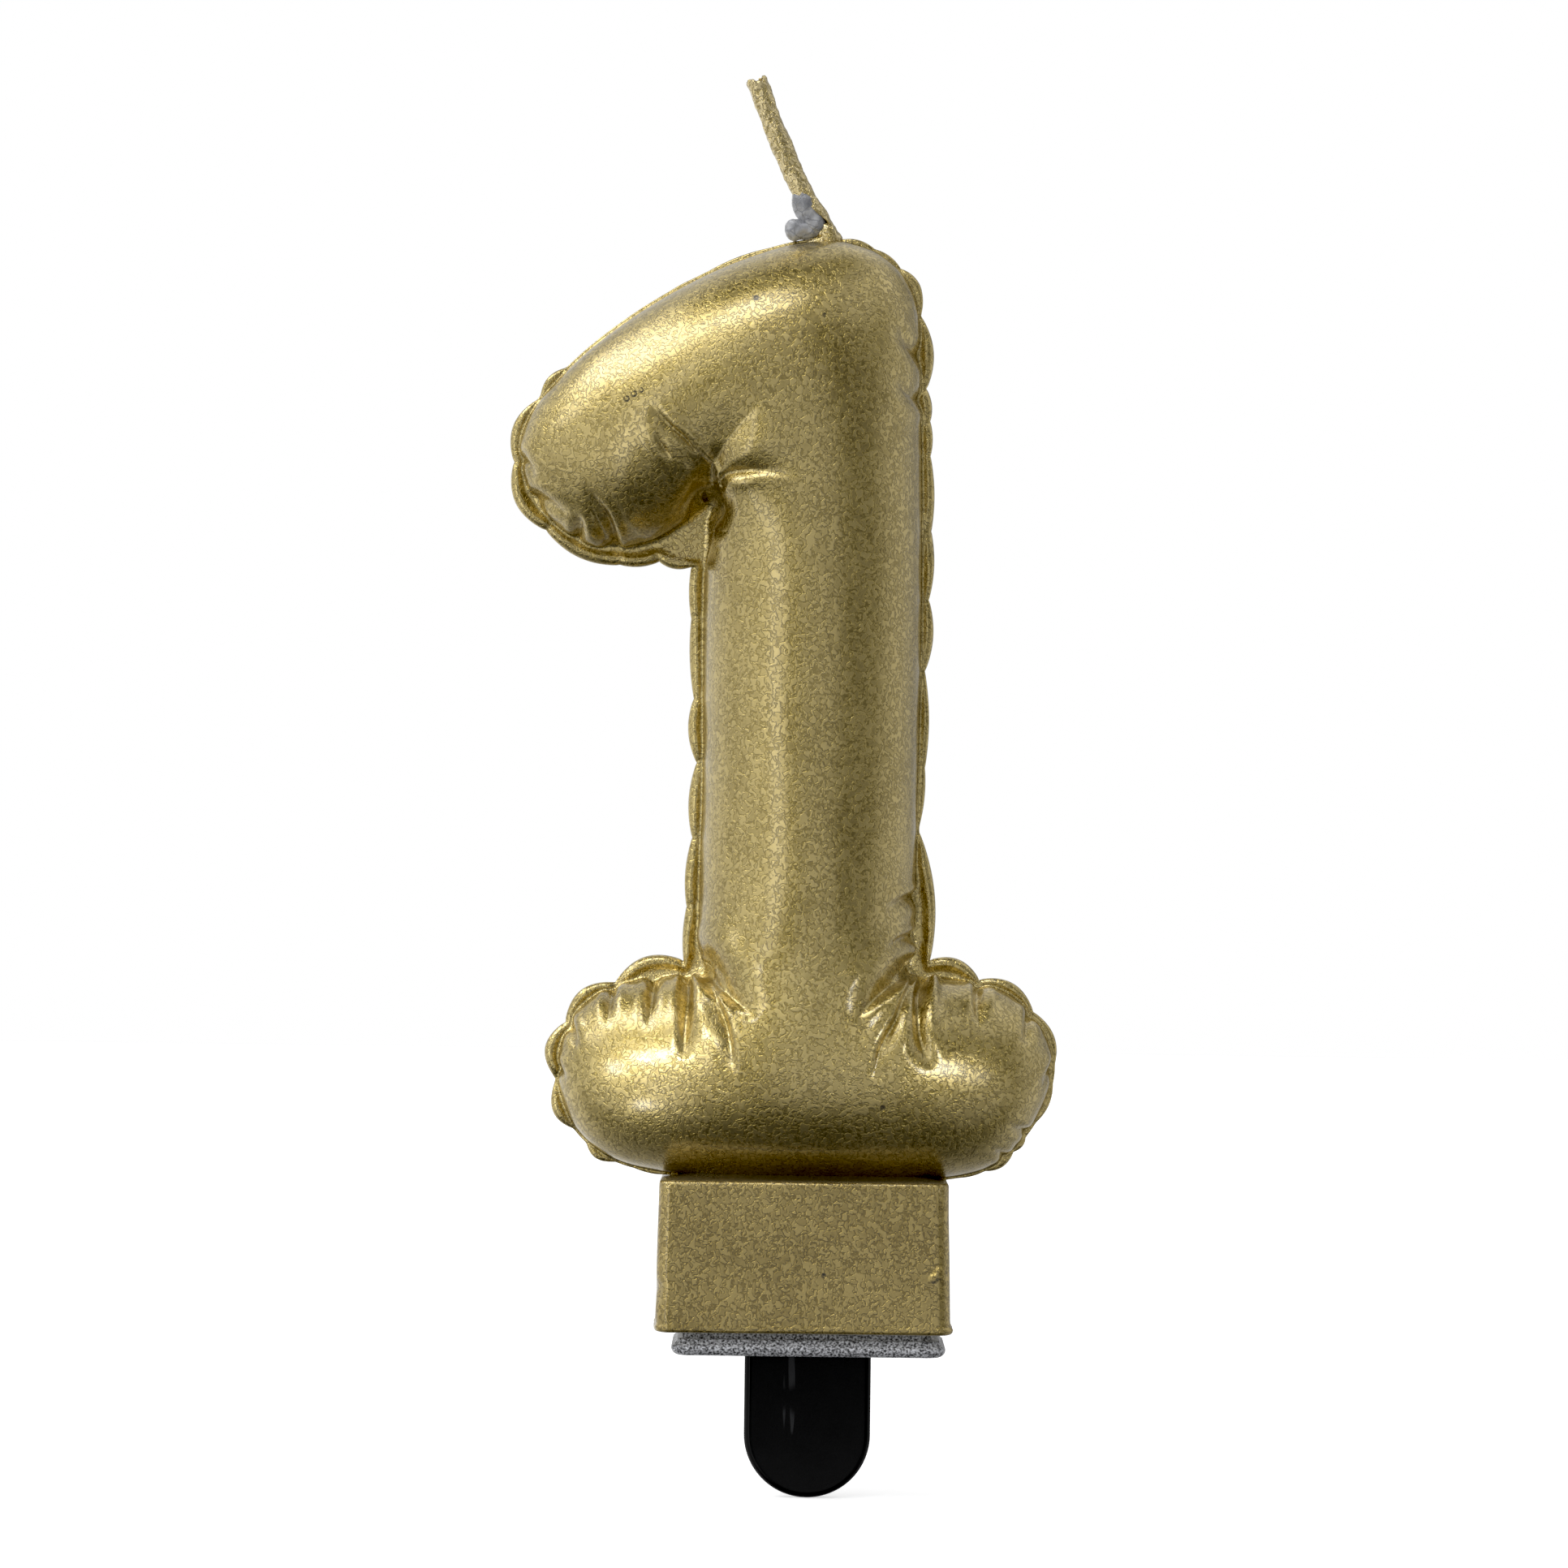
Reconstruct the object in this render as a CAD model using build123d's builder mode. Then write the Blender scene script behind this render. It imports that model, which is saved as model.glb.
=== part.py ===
"""A cake candle cast in the shape of a foil balloon numeral one.

Frame: X to the right as the numeral is read, Y to the back, Z up.  The origin is the centre of the
holder's blade where it leaves the underside of the plate, which is the level of the cake's surface.
All sizes are in millimetres.
"""

import os
from math import asin, cos, radians, sin, sqrt

from build123d import *

# ---------------------------------------------------------------- holder (one black moulding)
blade_width = 10.5
blade_length = 12.1
blade_thickness = 2.0
plate_length = 22.5
plate_depth = 13.2
plate_thickness = 1.35
plate_corner_radius = 1.6
plate_edge_radius = 0.9
pad_height = 0.55
pad_margin = 0.9
tang_width = 8.0
tang_thickness = 1.8
tang_height = 8.5
tang_corner_radius = 2.5
root_fillet = 0.6

# ---------------------------------------------------------------- wax figure
wax_centre_x = -0.5
coat_thickness = 0.3
slot_clearance = 0.08
slot_end_clearance = 0.6

block_width = 24.1
block_depth = 13.8
block_height = 12.35
block_corner_radius = 1.1
block_draft = 1.6
block_foot_radius = 0.2

foot_radius = 7.4
foot_half_span = 11.3
foot_lift = 8.1
stem_radius = 8.6
stem_root_radius = 6.6
stem_swell_height = 13.0
stem_height = 60.6
head_radius = 8.1
arm_reach = 16.6
arm_drop = 8.6
arm_tip_radius = 7.3
arm_middle_radius = 8.2
arm_middle_share = 0.48
arm_middle_lift = 0.9

seam_thickness = 1.2

# ---------------------------------------------------------------- wick
braid_diameter = 1.5
braid_clearance = 0.02
wick_coat_thickness = 0.35
wick_offset_x = 2.1
wick_floor_gap = 3.0
wick_lean_at_root = 37.5
wick_root_depth = 1.4
wick_root_length = 5.15
wick_bend_radius = 6.0
wick_tip_lean = 22.5
wick_tip_length = 12.2
bare_length = 1.35
ball_clearance = 0.05
joint_gap = 0.6
coat_lip = 0.25

# ---------------------------------------------------------------- wax bead at the wick's root
bead_collar_radius = 1.15
bead_collar_share = 0.5
bead_drop_radius = 1.0
bead_drop_offset_x = -2.45
bead_drop_lift = 0.55

# ---------------------------------------------------------------- levels and places worked out
plate_top = plate_thickness
seat_level = plate_top + pad_height
block_top = seat_level + block_height
foot_centre_z = block_top + foot_lift
head_centre_z = foot_centre_z + stem_height
stem_foot = (wax_centre_x, 0, foot_centre_z)
stem_swell = (wax_centre_x, 0, foot_centre_z + stem_swell_height)
foot_right_end = (wax_centre_x + foot_half_span, 0, foot_centre_z)
foot_left_end = (wax_centre_x - foot_half_span, 0, foot_centre_z)
head_centre = (wax_centre_x + 0.3, 0, head_centre_z)
arm_tip_centre = (head_centre[0] - arm_reach, 0, head_centre_z - arm_drop)
arm_middle_centre = (
    head_centre[0] - arm_reach * arm_middle_share,
    0,
    head_centre_z - arm_drop * arm_middle_share + arm_middle_lift,
)
head_top = head_centre_z + head_radius

braid_radius = braid_diameter / 2
root_lean = radians(wick_lean_at_root)
tip_lean = radians(wick_tip_lean)
root_direction = Vector(-sin(root_lean), 0, cos(root_lean))
tip_direction = Vector(-sin(tip_lean), 0, cos(tip_lean))
wick_foot = Vector(wick_offset_x, 0, block_top + wick_floor_gap)
wick_knee = Vector(wick_offset_x, 0, head_top - wick_root_depth)
wick_pivot = wick_knee + root_direction * wick_root_length
wick_end = wick_pivot - root_direction * joint_gap

# Seam outline, clockwise from the wick.  Each point is a pucker, where the seam is drawn in: x and z from
# the centre named beside its group, and the rise of the lobe that runs from it to the next pucker.
seam_groups = [
    (head_centre, [(1.4, 8.9, 0.5), (4.6, 8.3, 0.3), (6.8, 6.7, 0.25), (8.45, 5.3, 0.2)]),
    (head_centre, [(8.5, 2.8, 0.85), (9.05, -3.2, 0.3), (9.4, -5.9, 0.2), (9.45, -8.8, 0.3)]),
    (head_centre, [(9.6, -15.0, 0.35), (9.45, -20.7, 0.55)]),
    (stem_foot, [(9.5, 34.0, 0.35), (9.6, 26.0, 0.25), (9.1, 20.85, 0.9), (10.2, 10.1, 0.95)]),
    (foot_right_end, [(3.0, 8.5, 1.1), (7.5, 5.9, 0.9), (9.05, 0.9, 0.9), (6.9, -3.9, 0.5)]),
    (foot_right_end, [(6.0, -5.7, 0.55), (3.7, -7.3, 0.2), (1.1, -7.9, 0.2)]),
    (foot_left_end, [(-0.9, -7.9, 0.2), (-3.9, -6.8, 1.0), (-6.8, -4.4, 1.3), (-9.2, -0.1, 0.9)]),
    (foot_left_end, [(-8.5, 4.6, 1.1), (-4.5, 7.9, 1.15)]),
    (stem_foot, [(-10.2, 9.8, 0.2), (-10.0, 14.3, 0.35), (-9.6, 20.0, 0.5), (-9.3, 26.2, 0.6)]),
    (stem_foot, [(-9.6, 31.5, 0.25)]),
    (head_centre, [(-10.2, -22.5, 0.2), (-10.25, -18.2, 0.4), (-12.9, -17.8, 0.3)]),
    (arm_tip_centre, [(0.45, -9.5, 0.9), (-5.7, -6.7, 1.35), (-8.4, -1.1, 1.25), (-6.3, 4.2, 0.7)]),
    (arm_tip_centre, [(-4.0, 6.8, 0.3), (2.3, 11.6, 0.3)]),
    (head_centre, [(-9.6, 6.0, 0.35), (-3.5, 8.4, 0.25)]),
]
seam_outline = [
    (Vector(centre[0] + x, centre[2] + z), rise) for centre, points in seam_groups for x, z, rise in points
]


def capsule(start, end, start_radius, end_radius):
    """A ball at each end and the cone that touches both, as one turned solid."""
    start, end = Vector(*start), Vector(*end)
    length = (end - start).length
    slope = asin((end_radius - start_radius) / length)
    first = (-start_radius * sin(slope), start_radius * cos(slope))
    second = (length - end_radius * sin(slope), end_radius * cos(slope))
    half_turn = sqrt(0.5)
    along = Plane(origin=start, x_dir=(end - start).normalized(), z_dir=(0, -1, 0))
    with BuildPart() as turned:
        with BuildSketch(along):
            with BuildLine():
                ThreePointArc(
                    (-start_radius, 0), (-start_radius * half_turn, start_radius * half_turn), first
                )
                Line(first, second)
                ThreePointArc(
                    second,
                    (length + end_radius * half_turn, end_radius * half_turn),
                    (length + end_radius, 0),
                )
                Line((length + end_radius, 0), (-start_radius, 0))
            make_face()
        revolve(axis=Axis(start, end - start))
    return turned.part


def seam_plate(inset):
    """The flat seam all round the figure: lobed outside, plain where it is inset for the core."""
    with BuildPart() as plate:
        with BuildSketch(Plane.XZ):
            with BuildLine():
                for (first, rise), (last, _) in zip(seam_outline, seam_outline[1:] + seam_outline[:1]):
                    outward = Vector(-(last - first).Y, (last - first).X).normalized()
                    if inset:
                        Line(first, last)
                    else:
                        ThreePointArc(first, (first + last) / 2 + outward * rise, last)
            make_face()
            if inset:
                offset(amount=-inset, kind=Kind.INTERSECTION, mode=Mode.REPLACE)
        extrude(amount=seam_thickness / 2 - inset, both=True)
    return plate.part


def foot_block(inset):
    """The drafted block under the figure, reaching up into the foot's tube."""
    with BuildPart() as block:
        with BuildSketch(Plane((wax_centre_x, 0, seat_level))):
            RectangleRounded(
                block_width - 2 * inset, block_depth - 2 * inset, block_corner_radius - inset
            )
        extrude(amount=block_height + foot_lift / 2, taper=block_draft)
        if not inset:
            fillet(block.faces().sort_by(Axis.Z)[0].edges(), block_foot_radius)
    return block.part


def figure(inset):
    """The whole inflated numeral with its seam and foot block, inset from the outside."""
    with BuildPart() as body:
        add(capsule(foot_left_end, foot_right_end, foot_radius - inset, foot_radius - inset))
        add(capsule(stem_foot, stem_swell, stem_root_radius - inset, stem_radius - inset))
        add(capsule(stem_swell, head_centre, stem_radius - inset, head_radius - inset))
        add(capsule(arm_middle_centre, head_centre, arm_middle_radius - inset, head_radius - inset))
        add(
            capsule(
                arm_tip_centre, arm_middle_centre, arm_tip_radius - inset, arm_middle_radius - inset
            )
        )
        add(seam_plate(inset))
        add(foot_block(inset))
    return body.part


def wick_run(radius):
    """A round rod of the given radius along the wick's route, up to the place where it bends."""
    with BuildPart() as run:
        with BuildLine():
            FilletPolyline(wick_foot, wick_knee, wick_end, radius=wick_bend_radius)
        with BuildSketch(Plane(wick_foot)):
            Circle(radius)
        sweep()
    return run.part


os.makedirs("parts", exist_ok=True)

# ---------------------------------------------------------------- holder
with BuildPart() as holder:
    with BuildSketch(Plane.XY):
        RectangleRounded(plate_length, plate_depth, plate_corner_radius)
    extrude(amount=plate_thickness)
    fillet(holder.faces().sort_by(Axis.Z)[0].edges(), plate_edge_radius)
    with BuildSketch(Plane.XY.offset(plate_top)):
        RectangleRounded(
            plate_length - 2 * pad_margin,
            plate_depth - 2 * pad_margin,
            plate_corner_radius - pad_margin,
        )
    extrude(amount=pad_height)
    with BuildSketch(Plane.XZ):
        with Locations((0, -(blade_length - blade_width / 2) / 2)):
            Rectangle(blade_width, blade_length - blade_width / 2)
        with Locations((0, -(blade_length - blade_width / 2))):
            Circle(blade_width / 2)
    extrude(amount=blade_thickness / 2, both=True)
    underside = holder.faces().filter_by(lambda face: abs(face.center().Z) < 0.01)[0]
    fillet(underside.inner_wires()[0].edges(), root_fillet)
    with BuildSketch(Plane.XZ) as tang_outline:
        with Locations((0, seat_level + tang_height / 2)):
            Rectangle(tang_width, tang_height)
        fillet(tang_outline.vertices().group_by(Axis.Z)[-1], tang_corner_radius)
    extrude(amount=tang_thickness / 2, both=True)
holder.part.label = "holder"
export_step(holder.part, "parts/holder.step")

# ---------------------------------------------------------------- wax core and gold coat
core_blank = figure(coat_thickness)
wick_bore = wick_run(braid_radius + braid_clearance)

with BuildPart() as wax_core:
    add(core_blank)
    add(wick_bore, mode=Mode.SUBTRACT)
    with BuildSketch(Plane.XY.offset(seat_level)):
        Rectangle(tang_width + 2 * slot_clearance, tang_thickness + 2 * slot_clearance)
    extrude(amount=tang_height + slot_end_clearance, mode=Mode.SUBTRACT)
wax_core.part.label = "wax_core"
export_step(wax_core.part, "parts/wax_core.step")

with BuildPart() as gold_coat:
    add(figure(0))
    add(core_blank, mode=Mode.SUBTRACT)
    add(wick_bore, mode=Mode.SUBTRACT)
gold_coat.part.label = "gold_coat"
export_step(gold_coat.part, "parts/gold_coat.step")

# ---------------------------------------------------------------- wick
with BuildPart() as wick_root:
    add(wick_run(braid_radius))
    with Locations(wick_pivot):
        Sphere(braid_radius + ball_clearance, mode=Mode.SUBTRACT)
wick_root.part.label = "wick_root"
export_step(wick_root.part, "parts/wick_root.step")

tip_plane = Plane(origin=wick_pivot, x_dir=(cos(tip_lean), 0, sin(tip_lean)), z_dir=tip_direction)
with BuildPart() as wick_tip:
    with BuildSketch(tip_plane):
        Circle(braid_radius)
    extrude(amount=wick_tip_length - coat_lip)
    with Locations(wick_pivot):
        Sphere(braid_radius)
wick_tip.part.label = "wick_tip"
export_step(wick_tip.part, "parts/wick_tip.step")

with BuildPart() as wick_coat:
    with BuildSketch(tip_plane.offset(bare_length)):
        Circle(braid_radius + wick_coat_thickness)
        Circle(braid_radius, mode=Mode.SUBTRACT)
    extrude(amount=wick_tip_length - bare_length)
wick_coat.part.label = "wick_coat"
export_step(wick_coat.part, "parts/wick_coat.step")

# ---------------------------------------------------------------- bead of clear wax at the root
collar_centre = wick_knee + root_direction * (
    wick_root_length - joint_gap - bead_collar_radius * 2 * bead_collar_share
)
drop_centre = Vector(wick_knee.X + bead_drop_offset_x, 0, head_top + bead_drop_lift)
with BuildPart() as root_bead:
    with Locations(collar_centre):
        Sphere(bead_collar_radius)
    add(
        capsule(
            tuple(drop_centre), tuple(collar_centre), bead_drop_radius * 0.9, bead_drop_radius * 0.8
        )
    )
    add(wick_bore, mode=Mode.SUBTRACT)
    add(figure(0), mode=Mode.SUBTRACT)
root_bead.part.label = "root_bead"
export_step(root_bead.part, "parts/root_bead.step")

print("wick pivot", wick_pivot, "tip", wick_pivot + tip_direction * wick_tip_length)
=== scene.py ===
"""Looks of the numeral cake candle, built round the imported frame.

The candle is a wax casting in the shape of an inflated foil numeral one, dipped in gold lacquer, on a
rectangular foot block with a black push-in pick.  Shapes are worked out in millimetres and turned into
metres when they become meshes.  X is to the right, Y to the back and Z up.
"""

from math import cos, pi, radians, sin, tau

import bmesh
import bpy
import numpy as np
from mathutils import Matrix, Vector
from mathutils.geometry import delaunay_2d_cdt


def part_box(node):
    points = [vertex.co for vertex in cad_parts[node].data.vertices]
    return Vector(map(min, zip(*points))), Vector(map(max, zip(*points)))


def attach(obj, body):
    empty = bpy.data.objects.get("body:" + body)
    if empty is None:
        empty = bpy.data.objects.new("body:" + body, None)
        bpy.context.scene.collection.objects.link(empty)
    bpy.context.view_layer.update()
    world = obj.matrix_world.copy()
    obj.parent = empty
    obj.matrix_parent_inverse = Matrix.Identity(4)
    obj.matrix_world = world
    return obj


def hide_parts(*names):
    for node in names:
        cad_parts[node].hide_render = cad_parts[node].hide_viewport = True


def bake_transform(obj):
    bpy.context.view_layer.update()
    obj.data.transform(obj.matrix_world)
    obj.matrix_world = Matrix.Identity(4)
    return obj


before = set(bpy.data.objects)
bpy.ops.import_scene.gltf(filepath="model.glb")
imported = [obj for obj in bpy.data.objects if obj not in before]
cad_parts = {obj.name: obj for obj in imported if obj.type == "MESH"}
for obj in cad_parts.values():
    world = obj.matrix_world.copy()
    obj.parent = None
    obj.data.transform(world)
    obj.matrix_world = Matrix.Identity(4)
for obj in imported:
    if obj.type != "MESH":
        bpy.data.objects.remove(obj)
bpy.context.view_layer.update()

MM = 0.001

# ---------------------------------------------------------------- places taken from the frame
# Levels in mm.
block_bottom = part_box("gold_coat")[0][2] / MM
blade_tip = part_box("holder")[0][2] / MM

# ---------------------------------------------------------------- outline of the inflated figure
# (x, z) in mm.  Each stretch is one smooth curve between two sharp inner corners.
over_the_top = [
    (-8.9, 69.8), (-11.3, 67.9), (-14.3, 66.7), (-17.2, 66.3), (-19.6, 66.8), (-21.9, 68.4),
    (-23.8, 70.9), (-24.7, 74.0), (-24.0, 76.9), (-22.2, 79.4), (-18.8, 82.8), (-13.9, 86.4),
    (-8.4, 89.4), (-3.5, 91.2), (-0.1, 91.8), (2.6, 91.6), (5.2, 90.5), (7.2, 88.4), (8.1, 85.4),
    (8.3, 79.5), (8.55, 70.0), (8.6, 58.0), (8.45, 46.0), (8.35, 37.0), (8.2, 33.5), (8.0, 31.6),
]
round_the_foot = [
    (8.0, 31.6), (10.4, 31.0), (13.4, 30.6), (16.2, 29.7), (18.5, 27.6), (19.8, 24.8),
    (19.6, 21.8), (18.0, 18.6), (15.4, 15.8), (11.6, 14.6), (5.5, 14.3), (-1.2, 14.3),
    (-7.3, 14.4), (-12.4, 14.8), (-16.5, 15.9), (-19.4, 18.3), (-20.8, 21.6), (-20.8, 24.7),
    (-19.6, 27.6), (-17.3, 29.6), (-14.4, 30.5), (-11.6, 30.8), (-9.1, 31.3),
]
up_the_stem = [
    (-9.1, 31.3), (-9.4, 33.5), (-9.35, 40.0), (-9.2, 48.0), (-9.3, 56.0), (-9.3, 64.0),
    (-9.2, 68.0), (-8.9, 69.8),
]

# Puckers of the flat seam, clockwise from the wick: (x, z, how far the lobe after it stands out).
seam_puckers = [
    (1.2, 91.85, 0.5), (4.4, 91.25, 0.3), (6.6, 89.65, 0.25), (8.25, 88.25, 0.2), (8.3, 85.75, 0.85),
    (8.85, 79.75, 0.3), (9.2, 77.05, 0.2), (9.25, 74.15, 0.3), (9.4, 67.95, 0.35),
    (9.25, 62.25, 0.55), (9.0, 56.35, 0.35), (9.1, 48.35, 0.25), (8.6, 43.2, 0.9),
    (9.7, 32.45, 0.95), (13.8, 30.85, 1.2), (18.3, 28.25, 1.1), (19.9, 23.25, 0.95),
    (17.7, 18.45, 0.5), (16.8, 16.65, 0.55), (14.5, 15.05, 0.2), (11.9, 14.45, 0.2),
    (-12.7, 14.45, 0.2), (-15.7, 15.55, 1.2), (-18.6, 17.95, 1.6), (-21.1, 22.25, 1.35),
    (-20.4, 26.95, 1.3), (-16.3, 30.25, 1.3), (-10.7, 32.15, 0.2), (-10.5, 36.65, 0.35),
    (-10.1, 42.35, 0.5), (-9.8, 48.55, 0.6), (-10.1, 53.85, 0.25), (-10.4, 60.45, 0.2),
    (-10.45, 64.75, 0.4), (-13.1, 65.15, 0.3), (-16.35, 64.85, 0.9), (-22.5, 67.65, 1.35),
    (-25.2, 73.25, 1.25), (-23.1, 78.55, 0.7), (-20.8, 81.15, 0.3), (-14.5, 85.95, 0.3),
    (-9.8, 88.95, 0.35), (-3.7, 91.35, 0.25),
]

# The seam's half thickness in mm at its root, rim and web, and the least that it stands out; how full the
# tubes are and the half depth in mm that they can't pass; the step along creases and their reach, in mm.
seam_root = 0.5
seam_rim = 0.62
seam_web = 0.24
seam_least_width = 0.28
inflation = 0.905
inflation_limit = 9.6
crease_step = 0.06
crease_reach = 5



def crease_along(path, width, depth, lean, lip=0.28, ending=1.3, both=False):
    """A crease pressed into the figure, in mm: its path of (x, z) points starts at its deep end.

    A leaning crease is wider on one side; lip is how much swells beside it, as a share of its depth; a higher
    ending fades it sooner along its path, and with both it fades at its two ends.
    """
    return dict(path=path, width=width, depth=depth, lean=lean, lip=lip, ending=ending, both=both)


creases = [
    crease_along([(-10.4, 31.2), (-10.6, 27.8), (-10.5, 24.3)], 0.42, 1.0, 0.3, ending=0.9),
    crease_along([(-9.1, 31.6), (-7.6, 28.5), (-6.8, 26.1), (-6.4, 23.2)], 0.4, 0.75, -0.4, ending=0.9),
    crease_along([(-9.0, 31.3), (-7.0, 29.6), (-4.4, 27.8)], 0.75, 1.1, 0.5),
    crease_along([(-13.1, 31.2), (-13.4, 28.5), (-13.7, 26.5)], 0.36, 0.7, 0.2),
    crease_along([(-16.6, 30.4), (-16.8, 28.6), (-16.9, 26.8)], 0.34, 0.65, 0.2),
    crease_along([(-20.2, 27.0), (-19.4, 24.7)], 0.34, 0.6, 0.0),
    crease_along([(-21.2, 23.4), (-20.2, 22.1)], 0.3, 0.45, 0.0),
    crease_along([(7.9, 31.5), (5.5, 29.7), (3.2, 27.5)], 0.6, 1.1, -0.5),
    crease_along([(8.2, 31.2), (6.8, 27.7), (5.6, 25.3), (5.0, 22.9)], 0.42, 0.8, 0.4, ending=0.9),
    crease_along([(9.2, 31.4), (8.9, 28.1), (9.1, 25.9), (9.8, 23.8)], 0.5, 1.2, -0.3, ending=0.9),
    crease_along([(13.7, 31.0), (13.6, 28.6), (13.8, 26.9)], 0.36, 0.7, 0.2),
    crease_along([(18.2, 28.6), (17.5, 25.4)], 0.34, 0.65, 0.0),
    crease_along([(20.2, 24.0), (19.0, 22.0)], 0.3, 0.5, 0.0),
    crease_along([(18.0, 18.3), (16.4, 18.9)], 0.3, 0.4, 0.0),
    crease_along([(16.4, 16.0), (15.1, 17.0)], 0.3, 0.4, 0.0),
    crease_along([(8.6, 37.9), (7.1, 37.3), (5.8, 36.6)], 0.36, 0.6, 0.3),
    crease_along([(8.5, 34.6), (7.1, 34.2), (5.7, 33.5)], 0.36, 0.6, 0.3),
    crease_along([(8.4, 82.3), (7.1, 83.5), (6.5, 85.0)], 0.5, 0.5, 0.0),
    crease_along([(8.5, 78.7), (7.2, 79.3), (6.2, 80.4)], 0.5, 0.45, 0.0),
    crease_along([(-8.9, 70.2), (-7.8, 71.8), (-6.0, 72.3), (-3.9, 72.3), (-1.4, 71.6)], 0.62, 0.85, 0.5),
    crease_along(
        [(-8.9, 69.6), (-9.1, 71.8), (-8.2, 73.8), (-6.8, 75.7), (-4.6, 78.6)],
        1.75, 1.6, 0.4, lip=0.12, ending=1.6,
    ),
    crease_along([(-9.0, 71.9), (-10.7, 74.6), (-12.4, 76.2), (-13.9, 77.9)], 0.42, 1.0, 0.5),
    crease_along([(-11.3, 72.4), (-12.7, 74.1), (-13.5, 75.7)], 0.4, 0.5, -0.4, both=True),
    crease_along([(-16.6, 66.2), (-17.4, 68.4), (-18.9, 70.9)], 0.4, 0.8, 0.3),
    crease_along([(-17.2, 66.2), (-18.3, 68.3), (-18.8, 69.7), (-19.3, 71.2)], 0.3, 0.4, 0.0),
    crease_along([(-24.6, 73.4), (-23.2, 71.6)], 0.32, 0.5, 0.3),
    crease_along([(-23.3, 70.2), (-22.3, 69.6), (-20.4, 68.7)], 0.34, 0.6, 0.3),
    crease_along([(-19.9, 66.9), (-19.5, 68.9)], 0.34, 0.55, 0.0),
    crease_along([(-9.3, 68.5), (-7.9, 67.5), (-6.8, 67.7)], 0.4, 0.28, 0.3),
]


# ---------------------------------------------------------------- small tools
def catmull(points, steps=24):
    """Smooth curve through the points: a Catmull-Rom cubic between each two, worked out as one array."""
    p = np.asarray(points, float)
    p = np.vstack([2 * p[0] - p[1], p, 2 * p[-1] - p[-2]])
    t = (np.arange(steps) / steps)[:, None, None]
    before, start, end, after = p[:-3], p[1:-2], p[2:-1], p[3:]
    curve = start + 0.5 * (
        (end - before) * t
        + (2 * before - 5 * start + 4 * end - after) * t**2
        + (3 * start - before - 3 * end + after) * t**3
    )
    return np.vstack([curve.transpose(1, 0, 2).reshape(-1, p.shape[1]), p[-2]])


def run_length(path):
    """Distance along a path at each of its points."""
    return np.concatenate([[0.0], np.cumsum(np.linalg.norm(np.diff(path, axis=0), axis=1))])


def along(path, distance):
    """Points of a path at the given distances from its start."""
    s = run_length(path)
    return np.stack([np.interp(distance, s, path[:, k]) for k in range(path.shape[1])], axis=-1)


def smooth(x, low, high):
    """0 below low, 1 above high and a smooth step between them."""
    t = np.clip((x - low) / (high - low), 0, 1)
    return t * t * (3 - 2 * t)


def waves(points, size, seed, count=7):
    """Even, repeatable unevenness about zero: a sum of sine waves of about the given size in mm."""
    random = np.random.default_rng(seed)
    directions = random.normal(size=(count, points.shape[-1]))
    directions /= np.linalg.norm(directions, axis=1, keepdims=True)
    numbers = tau / (size * random.uniform(0.7, 1.6, count))
    phases = random.uniform(0, tau, count)
    return np.sin(points @ (directions * numbers[:, None]).T + phases).sum(axis=-1) / count**0.5


def add_mesh(name, vertices, faces, material, **masks):
    """A smooth-shaded mesh from mm points and arrays of faces; each mask becomes a point attribute."""
    mesh = bpy.data.meshes.new(name)
    every_face = [face for part in faces for face in part.tolist()]
    mesh.from_pydata((np.asarray(vertices) * MM).tolist(), [], every_face)
    mesh.polygons.foreach_set("use_smooth", np.ones(len(mesh.polygons), bool))
    for mask, values in masks.items():
        mesh.attributes.new(mask, "FLOAT", "POINT").data.foreach_set("value", np.asarray(values, np.float32))
    mesh.materials.append(material)
    mesh.update()
    check = bmesh.new()
    check.from_mesh(mesh)
    bmesh.ops.recalc_face_normals(check, faces=check.faces)
    if check.calc_volume(signed=True) < 0:
        bmesh.ops.reverse_faces(check, faces=check.faces)
    check.to_mesh(mesh)
    check.free()
    return into_scene(name, mesh)


def into_scene(name, data):
    """A new object of the given data, linked into the scene."""
    made = bpy.data.objects.new(name, data)
    bpy.context.scene.collection.objects.link(made)
    return made


def grid_faces(rows, columns, first=0):
    """Quads of a grid whose columns close on themselves; rows follow one another in vertex order."""
    i, j = np.meshgrid(np.arange(rows - 1), np.arange(columns), indexing="ij")
    k = (j + 1) % columns
    here, above = i * columns, (i + 1) * columns
    return np.stack([here + j, here + k, above + k, above + j], axis=-1).reshape(-1, 4) + first


def end_caps(total, columns):
    """The two many-sided faces that close the first and the last ring of a grid with that many points."""
    return [np.arange(columns)[None], (total - 1 - np.arange(columns))[None]]


def full_turn(columns):
    """Angles once round, as one row."""
    return (np.arange(columns) / columns * tau)[None]


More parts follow.
